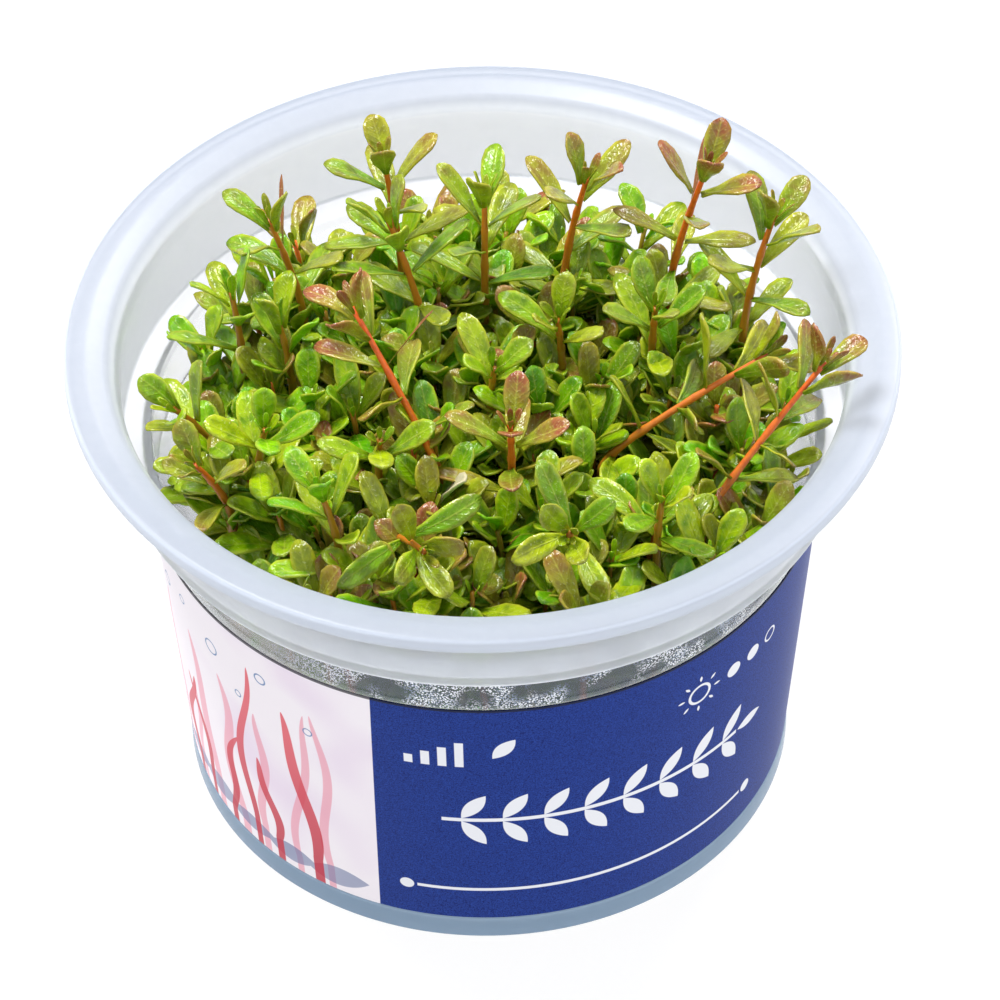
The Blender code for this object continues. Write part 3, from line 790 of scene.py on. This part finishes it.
def make_label(material, back):
    bm = bmesh.new()
    start = 0.5 * math.pi + LABEL_SEAM
    facing = Vector((math.cos(start), math.sin(start), 0.0))
    outline = [
        (wall_radius(LABEL_TOP) + LABEL_GAP, LABEL_TOP),
        (wall_radius(LABEL_TOP) + LABEL_GAP + LABEL_THICKNESS, LABEL_TOP),
        (wall_radius(LABEL_BOTTOM) + LABEL_GAP + LABEL_THICKNESS, LABEL_BOTTOM),
        (wall_radius(LABEL_BOTTOM) + LABEL_GAP, LABEL_BOTTOM),
    ]
    section = bm.faces.new([bm.verts.new(facing * out + Vector((0.0, 0.0, up))) for out, up in outline])
    bmesh.ops.spin(
        bm, geom=[section], cent=(0, 0, 0), axis=(0, 0, 1), angle=math.tau - LABEL_SEAM,
        steps=LABEL_STEPS, use_merge=False,
    )
    bmesh.ops.remove_doubles(bm, verts=bm.verts[:], dist=1e-6)
    bmesh.ops.recalc_face_normals(bm, faces=bm.faces[:])
    for face in bm.faces:
        middle = face.calc_center_median()
        face.material_index = 1 if face.normal.dot(Vector((middle.x, middle.y, 0.0))) < 0.0 else 0
    label = piece_from(bm, "wrapped_label", [material, back], smooth_angle=35.0)
    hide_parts("label")


def canopy_height(x, y):
    """Height of the undergrowth's top, without its lumps: a shallow dome."""
    out = (Vector((x, y, 0.0)) - TOP_CENTRE).length / TOP_SPREAD
    return CANOPY_HEIGHT - CANOPY_FALL * out * out


class Curve(NamedTuple):
    """A stem's line, bent once between its two ends."""

    start: Vector
    bend: Vector
    end: Vector

    def point(self, along):
        return self.start.lerp(self.bend, along).lerp(self.bend.lerp(self.end, along), along)

    def direction(self, along):
        step = 0.02
        return (self.point(along + step) - self.point(along - step)).normalized()

    def along_at_depth(self, depth):
        """How far along a point lies that is this far below the tip, measured on the stem."""
        steps = 60
        walked = 0.0
        last = self.point(1.0)
        for step in range(1, steps + 1):
            here = self.point(1.0 - step / steps)
            walked += (here - last).length
            if walked >= depth:
                return 1.0 - step / steps
            last = here
        return 0.0


def free_curve(shoot):
    start = Vector((*shoot.exit, 0.0)) * MM
    start.z = canopy_height(start.x, start.y) - BURIED_TIP
    end = Vector(shoot.tip) * MM
    bend = start + Vector((0.0, 0.0, shoot.rise * (end - start).length))
    return Curve(start, bend, end)


def stem_axes(curve, compass, along):
    """The stem's direction and its two crosswise axes, which hold the leaf pairs in turn."""
    forward = curve.direction(along)
    heading = math.radians(compass)
    first = Vector((math.cos(heading), math.sin(heading), 0.0))
    first = (first - forward * first.dot(forward)).normalized()
    return forward, first, forward.cross(first)


def leaf_frame(forward, outward, angle, swing):
    """A leaf's direction, at an angle from the stem and swung sideways, and its upper side."""
    side = forward.cross(outward)
    flat = outward * math.cos(swing) + side * math.sin(swing)
    direction = forward * math.cos(angle) + flat * math.sin(angle)
    upper = (forward - direction * forward.dot(direction)).normalized()
    return direction, upper


def leaf_samples(leaf):
    """Points over a leaf's blade, to test it by."""
    half = 0.5 * leaf.width
    side = leaf.direction.cross(leaf.upper)
    found = []
    for along in LEAF_TEST_STOPS:
        droop = leaf.upper * (-LEAF_DROOP * leaf.length * along * along)
        for across in (-half, 0.0, half):
            found.append(leaf.base + leaf.direction * leaf.length * along + droop + side * across)
    return found


def clear_of_cup(point):
    out = math.hypot(point.x, point.y)
    if point.z > RIM_TOP + CUP_CLEARANCE:
        return True
    limit = inner_radius(point.z) if point.z < COLLAR_TOP else COLLAR_RADIUS - WALL_THICKNESS
    return out < limit - CUP_CLEARANCE


def clear_of_undergrowth(point):
    return point.z > canopy_height(point.x, point.y) + LUMP_HEIGHT + TIP_RISE + CANOPY_CLEARANCE


def leaf_fits(leaf, taken):
    samples = leaf_samples(leaf)
    if not all(clear_of_cup(point) and clear_of_undergrowth(point) for point in samples):
        return False
    apart = np.array(samples)[:, None, :] - taken[None, :, :]
    return float((apart**2).sum(axis=2).min()) > LEAF_CLEARANCE**2


def leaf_on(curve, compass, pair, along, side, chances, shift):
    """One leaf of a pair, on the stem's side 1 or -1, shifted as asked."""
    forward, first, second = stem_axes(curve, compass, along)
    outward = (second if pair % 2 else first) * side
    swing, lift, shrink = shift
    angle = math.radians(PAIR_ANGLES[pair] + ANGLE_SPREAD * chances[0] + lift)
    direction, upper = leaf_frame(forward, outward, angle, math.radians(swing + SWING_SPREAD * chances[1]))
    return Leaf(
        pair=pair,
        base=curve.point(along) + outward * STEM_HALF_WIDTH,
        direction=direction,
        upper=upper,
        length=LEAF_LENGTH * PAIR_LENGTHS[pair] * (1.0 + LENGTH_SPREAD * chances[2]) * shrink,
        width=LEAF_WIDTH * (0.7 + 0.3 * PAIR_LENGTHS[pair]),
    )


def planned_leaves():
    """The leaves of each standing shoot, shifted or left off where they would touch a neighbour."""
    curves = [free_curve(shoot) for shoot in SHOOTS]
    taken = [[curve.point(step / 24) for step in range(25)] for curve in curves]
    plan = []
    for index, shoot in enumerate(SHOOTS):
        chance = random.Random(index)
        elsewhere = taken[:index] + taken[index + 1:]
        others = np.array([point for points in elsewhere for point in points])
        leaves = []
        for pair in range(shoot.pairs):
            along = curves[index].along_at_depth(PAIR_DEPTHS[pair])
            for side in (1.0, -1.0):
                chances = [chance.uniform(-1.0, 1.0) for _ in range(3)]
                tries = (
                    leaf_on(curves[index], shoot.compass, pair, along, side, chances, shift)
                    for shift in LEAF_SHIFTS
                )
                leaf = next((leaf for leaf in tries if leaf_fits(leaf, others)), None)
                if leaf:
                    leaves.append(leaf)
                    taken[index] = taken[index] + leaf_samples(leaf)
        plan.append((curves[index], leaves))
    return plan


def leaf_form(index):
    """A leaf one unit long and one wide, creased, cupped and twisted a little, as a closed thin blade."""
    chance = random.Random(LEAF_SEED + index)
    cup = chance.uniform(-0.08, 0.22)
    twist = chance.uniform(-0.45, 0.45)
    wave = chance.uniform(0.0, 0.06)
    skew = chance.uniform(-0.07, 0.07)
    droop = chance.uniform(-0.04, 0.34) * LEAF_RATIO
    steps_along = len(LEAF_OUTLINE) - 1
    bm = bmesh.new()
    plan = bm.loops.layers.uv.new("leaf_plan")
    bmesh.ops.create_grid(bm, x_segments=steps_along, y_segments=LEAF_CELLS_ACROSS, size=0.5)
    places = {}
    for vert in bm.verts:
        column = int(round((vert.co.x + 0.5) * steps_along))
        across = vert.co.y * 2.0
        rounded = TIP_ROUNDING * across * across if column == steps_along else 0.0
        places[vert] = (LEAF_OUTLINE[column][0] - rounded, across, LEAF_OUTLINE[column][1])
    for face in bm.faces:
        for loop in face.loops:
            along, across, _ = places[loop.vert]
            loop[plan].uv = (along, 0.5 * across + 0.5)
    for vert, (along, across, share) in places.items():
        half = 0.5 * share * across + skew * math.sin(math.pi * along)
        turn = twist * along * along
        crease = 0.09 * math.sqrt(abs(across)) * share
        lift = crease + cup * across * across * share * 0.5 + wave * math.sin(9.0 * along + index) * across
        drop = droop * along * along
        sideways = half * math.cos(turn) - lift * math.sin(turn)
        vert.co = Vector((along, sideways, half * math.sin(turn) + lift - drop))
    bmesh.ops.remove_doubles(bm, verts=bm.verts[:], dist=1e-5)
    bmesh.ops.recalc_face_normals(bm, faces=bm.faces[:])
    if sum(face.normal.z for face in bm.faces) < 0.0:
        bmesh.ops.reverse_faces(bm, faces=bm.faces[:])
    bmesh.ops.solidify(bm, geom=bm.faces[:], thickness=LEAF_BLADE / LEAF_WIDTH)
    for face in bm.faces:
        face.material_index = 1
    mesh = bpy.data.meshes.new(f"leaf_form_{index}")
    bm.to_mesh(mesh)
    bm.free()
    return mesh


def grown(leaf, growth):
    """The leaf at its full size, or at as much of it as stays inside the cup."""
    for share in GROWTH_TRIES:
        size = growth * share
        full = leaf._replace(length=leaf.length * size, width=leaf.width * size)
        if all(clear_of_cup(point) for point in leaf_samples(full)):
            return full
    return None


def add_leaf(bm, tone_layer, form, leaf, tone):
    """Adds a copy of a leaf form, laid along the leaf's direction."""
    before = len(bm.verts)
    bm.from_mesh(form)
    bm.verts.ensure_lookup_table()
    added = bm.verts[before:]
    length = leaf.direction * leaf.length
    width = leaf.width * NARROWING
    side = leaf.direction.cross(leaf.upper) * width
    laid = Matrix((length, side, leaf.upper * width)).transposed()
    bmesh.ops.transform(bm, matrix=Matrix.Translation(leaf.base) @ laid.to_4x4(), verts=added)
    for vert in added:
        vert[tone_layer] = tone


def next_ring(bm, face, turns, keep):
    """Extrudes a stem's end face, and keeps the old one where that closes the foot.

    Each corner's turn round the stem passes to its copy."""
    placed = {vert.co.copy().freeze(): turn for vert, turn in turns.items()}
    if keep:
        parts = bmesh.ops.extrude_face_region(bm, geom=[face], use_keep_orig=True)["geom"]
        face = next(part for part in parts if isinstance(part, bmesh.types.BMFace))
    else:
        face = bmesh.ops.extrude_discrete_faces(bm, faces=[face])["faces"][0]
    return face, {vert: placed[vert.co.copy().freeze()] for vert in face.verts}


def draw_stem(bm, tone_layer, curve, foot, stem):
    """A closed round stem up the curve, swollen at its joints, thinner and redder at its tip."""
    stations = [(foot, Vector((0.0, 0.0, 1.0)), 0.0)] if foot else []
    for step in range(stem.steps + 1):
        along = step / stem.steps
        stations.append((curve.point(along), curve.direction(along), along))
    ring = bmesh.ops.create_circle(bm, cap_ends=True, segments=stem.sides, radius=1.0)["verts"]
    face = ring[0].link_faces[0]
    turns = {vert: math.atan2(vert.co.y, vert.co.x) for vert in ring}
    for number, (centre, forward, along) in enumerate(stations):
        if number > 0:
            face, turns = next_ring(bm, face, turns, keep=number == 1)
        across = forward.cross(STEM_ASIDE).normalized()
        other = forward.cross(across)
        joint = 0.5 + 0.5 * math.cos(math.tau * along * STEM_JOINTS)
        size = stem.radius * (1.05 - 0.4 * along * along) * (1.0 + JOINT_SWELLING * joint**6)
        for vert, turn in turns.items():
            vert.co = centre + (across * math.cos(turn) + other * math.sin(turn)) * size
            vert[tone_layer] = (stem.redness * (0.35 + 0.65 * along), along, 0.5, 1.0)


def bud_leaves(curve, compass, pairs=len(BUD_SIZES)):
    """The small young leaves that stand together at a shoot's tip."""
    found = []
    for number, (depth, share, angle) in enumerate(BUD_SIZES[:pairs]):
        along = curve.along_at_depth(depth)
        forward, first, second = stem_axes(curve, compass, along)
        outward = first if number % 2 else second
        for side in (1.0, -1.0):
            direction, upper = leaf_frame(forward, outward * side, math.radians(angle), BUD_SWING)
            found.append(Leaf(
                pair=0,
                base=curve.point(along) + outward * side * BUD_OFFSET,
                direction=direction,
                upper=upper,
                length=LEAF_LENGTH * share,
                width=LEAF_WIDTH * share * BUD_NARROWING,
            ))
    return found


def lower_leaves(curve, shoot, chance):
    """Leaves further down a standing shoot, among the undergrowth."""
    found = []
    for pair in range(shoot.pairs, len(PAIR_DEPTHS)):
        along = curve.along_at_depth(PAIR_DEPTHS[pair])
        for side in (1.0, -1.0):
            chances = [chance.uniform(-1.5, 1.5) for _ in range(3)]
            leaf = leaf_on(curve, shoot.compass, pair, along, side, chances, (0, 0, 1.0))
            if along > 0.0 and all(clear_of_cup(point) for point in leaf_samples(leaf)):
                found.append(leaf)
    return found


def grow(bm, forms, curve, foot, stem, leaves):
    """Adds one shoot to a piece: its stem, then each leaf with its form and its tone.

    A tone is how flushed, how young and how yellow the leaf is, and 1 for alive or 0 for faded."""
    shoot = bmesh.new()
    tone_layer = shoot.verts.layers.float_color.new("tone")
    shoot.loops.layers.uv.new("leaf_plan")
    draw_stem(shoot, tone_layer, curve, foot, stem)
    for form, leaf, tone in leaves:
        add_leaf(shoot, tone_layer, forms[form], leaf, tone)
    bmesh.ops.recalc_face_normals(shoot, faces=shoot.faces[:])
    mesh = bpy.data.meshes.new("grown")
    shoot.to_mesh(mesh)
    shoot.free()
    bm.from_mesh(mesh)
    bpy.data.meshes.remove(mesh)


def foliage_piece(bm, name, materials, node):
    piece = piece_from(bm, name, materials)
    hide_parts(node)


def shoot_tone(shoot, leaf, chance):
    age = leaf.pair / 4.0
    blush = max(0.0, shoot.blush * (1.25 - 0.6 * age) + chance.uniform(-0.2, 0.1))
    youth = max(0.1, 0.95 - 0.45 * age) * chance.uniform(0.6, 1.0)
    return blush, youth, chance.random(), 1.0


def shoot_leaves(index, shoot, curve, planned):
    """A standing shoot's leaves in order, each with its form and tone."""
    chance = random.Random(SHOOT_SEED + index)
    leaves = planned + bud_leaves(curve, shoot.compass) + lower_leaves(curve, shoot, chance)
    found = []
    for number, leaf in enumerate(leaves):
        tone = shoot_tone(shoot, leaf, chance)
        form = chance.randrange(LEAF_FORMS)
        full = grown(leaf, SHOOT_GROWTH[leaf.pair])
        if full is None:
            continue
        if (index, number) in WITHERED:
            full = full._replace(width=full.width * WITHERED_WIDTH)
            tone = WITHERED_TONE
        found.append((form, full, tone))
    return found


def make_standing_shoots(materials, forms):
    for index, (shoot, (curve, planned)) in enumerate(zip(SHOOTS, planned_leaves())):
        bm = bmesh.new()
        foot = Vector((curve.start.x, curve.start.y, GEL_TOP + FIT_GAP))
        stem = Stem(radius=0.48 * MM, redness=0.15 + 0.85 * shoot.blush, steps=24, sides=8)
        grow(bm, forms, curve, foot, stem, shoot_leaves(index, shoot, curve, planned))
        name = f"{index + 1:02d}"
        foliage_piece(bm, f"rotala_shoot_{name}", materials, f"shoot_{name}")


def crowd_stems():
    """The short shoots that make the undergrowth: a jittered six-sided grid of stems."""
    chance = random.Random(CROWD_SEED)
    found = []
    reach = int(TOP_SPREAD / CROWD_PITCH) + 3
    for row in range(-reach, reach + 1):
        for column in range(-reach, reach + 1):
            spot = Vector(((column + 0.5 * (row % 2)) * CROWD_PITCH, row * ROW_PITCH, 0.0))
            spot += Vector((chance.uniform(-1, 1), chance.uniform(-1, 1), 0.0)) * CROWD_JITTER
            lean = Vector((chance.uniform(-1, 1), chance.uniform(-1, 1), 0.0)) * CROWD_LEAN
            rise = chance.uniform(*CROWD_RISE)
            compass = chance.uniform(0.0, 180.0)
            blush = max(0.0, chance.uniform(-0.5, 0.75))
            if spot.length > CROWD_SPREAD:
                continue
            out = spot.length / CROWD_SPREAD
            tip = TOP_CENTRE + spot + lean * (1.0 - 0.5 * out) + spot.normalized() * CROWD_FLARE * out**3
            tip.z = canopy_height(tip.x, tip.y) + rise
            foot = (TOP_CENTRE + spot) * FOOT_GATHER
            foot.z = GEL_TOP + FIT_GAP
            bend = Vector((foot.x, foot.y, CROWD_BEND * tip.z))
            found.append((Curve(foot, bend, tip), compass, blush))
    return found


def clump_of(point):
    """Which undergrowth clump a stem's tip belongs to: 0 for the middle one."""
    out = Vector((point.x, point.y, 0.0)) - TOP_CENTRE
    if out.length < MIDDLE_RADIUS:
        return 0
    return 1 + int((math.atan2(out.y, out.x) % math.tau) / (math.tau / CLUMP_COUNT)) % CLUMP_COUNT


def crowd_tone(pair, blush, chance):
    youth = max(0.05, 0.95 - 0.1 * pair) * chance.uniform(0.35, 1.0)
    flush = max(0.0, blush * (1.2 - 0.22 * pair) + chance.uniform(-0.3, 0.3))
    return flush, youth, chance.random(), 1.0


def crowd_leaves(curve, compass, blush, chance):
    """A short shoot's leaves, each with its form and tone."""
    found = []
    for pair in range(CROWD_PAIRS):
        along = curve.along_at_depth(CROWD_DEPTHS[pair])
        for side in (1.0, -1.0):
            chances = [chance.uniform(-1.6, 1.6) for _ in range(3)]
            leaf = leaf_on(curve, compass, pair, along, side, chances, (0, 0, 1.0))
            tone = crowd_tone(pair, blush, chance)
            form = chance.randrange(LEAF_FORMS)
            full = grown(leaf, CROWD_GROWTH[pair])
            if full is None:
                continue
            if (full.base + full.direction * full.length - FADED_TIP).length < FADED_REACH:
                tone = (*tone[:3], 0.0)
            found.append((form, full, tone))
    for leaf in bud_leaves(curve, compass, 1):
        found.append((chance.randrange(LEAF_FORMS), leaf, (blush, 1.0, 0.5, 1.0)))
    return found


def make_undergrowth(materials, forms):
    groups = [[] for _ in range(CLUMP_COUNT + 1)]
    for stem in crowd_stems():
        groups[clump_of(stem[0].end)].append(stem)
    for number, stems in enumerate(groups):
        chance = random.Random(CLUMP_SEED + number)
        bm = bmesh.new()
        for curve, compass, blush in stems:
            stem = Stem(radius=0.42 * MM, redness=0.1 + blush, steps=10, sides=6)
            grow(bm, forms, curve, None, stem, crowd_leaves(curve, compass, blush, chance))
        name = "middle" if number == 0 else str(number)
        foliage_piece(bm, f"rotala_crowd_{name}", materials, f"undergrowth_{name}")


def make_floor():
    bm = bmesh.new()
    bmesh.ops.create_grid(bm, x_segments=1, y_segments=1, size=3.0)
    bmesh.ops.translate(bm, verts=bm.verts[:], vec=(0.0, 0.0, -0.05 * MM))
    mesh = bpy.data.meshes.new("floor")
    bm.to_mesh(mesh)
    bm.free()
    mesh.materials.append(pale_floor())
    floor = bpy.data.objects.new("floor", mesh)
    bpy.context.scene.collection.objects.link(floor)


def make_light():
    """A white surround and three soft lamps that face the plants."""
    world = bpy.data.worlds.new("studio")
    world.use_nodes = True
    background = world.node_tree.nodes["Background"].inputs
    background["Color"].default_value = (1.0, 1.0, 1.0, 1.0)
    background["Strength"].default_value = WORLD_STRENGTH
    bpy.context.scene.world = world
    bpy.context.scene.view_settings.view_transform = "Standard"
    for lamp in LAMPS:
        data = bpy.data.lights.new(lamp.name, "AREA")
        data.size = lamp.size
        data.energy = lamp.power
        light = bpy.data.objects.new(lamp.name, data)
        light.location = lamp.place
        light.rotation_euler = (LAMP_TARGET - Vector(lamp.place)).to_track_quat("-Z", "Y").to_euler()
        bpy.context.scene.collection.objects.link(light)


def make_camera():
    lens = bpy.data.cameras.new("camera")
    lens.lens = CAMERA_LENS
    lens.sensor_width = 36.0
    lens.clip_start = 0.05
    lens.clip_end = 20.0
    camera = bpy.data.objects.new("camera", lens)
    camera.location = CAMERA_PLACE
    camera.rotation_euler = CAMERA_TURN
    bpy.context.scene.collection.objects.link(camera)
    bpy.context.scene.camera = camera


make_floor()
make_light()
make_camera()
make_cup(clouded_plastic())
make_label(printed_film(), film_back())
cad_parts["nutrient_gel"].data.materials.clear()
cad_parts["nutrient_gel"].data.materials.append(nutrient_gel())
leaf_forms = [leaf_form(index) for index in range(LEAF_FORMS)]
foliage = [stem_skin(), leaf_skin()]
make_standing_shoots(foliage, leaf_forms)
make_undergrowth(foliage, leaf_forms)
for form in leaf_forms:
    bpy.data.meshes.remove(form)
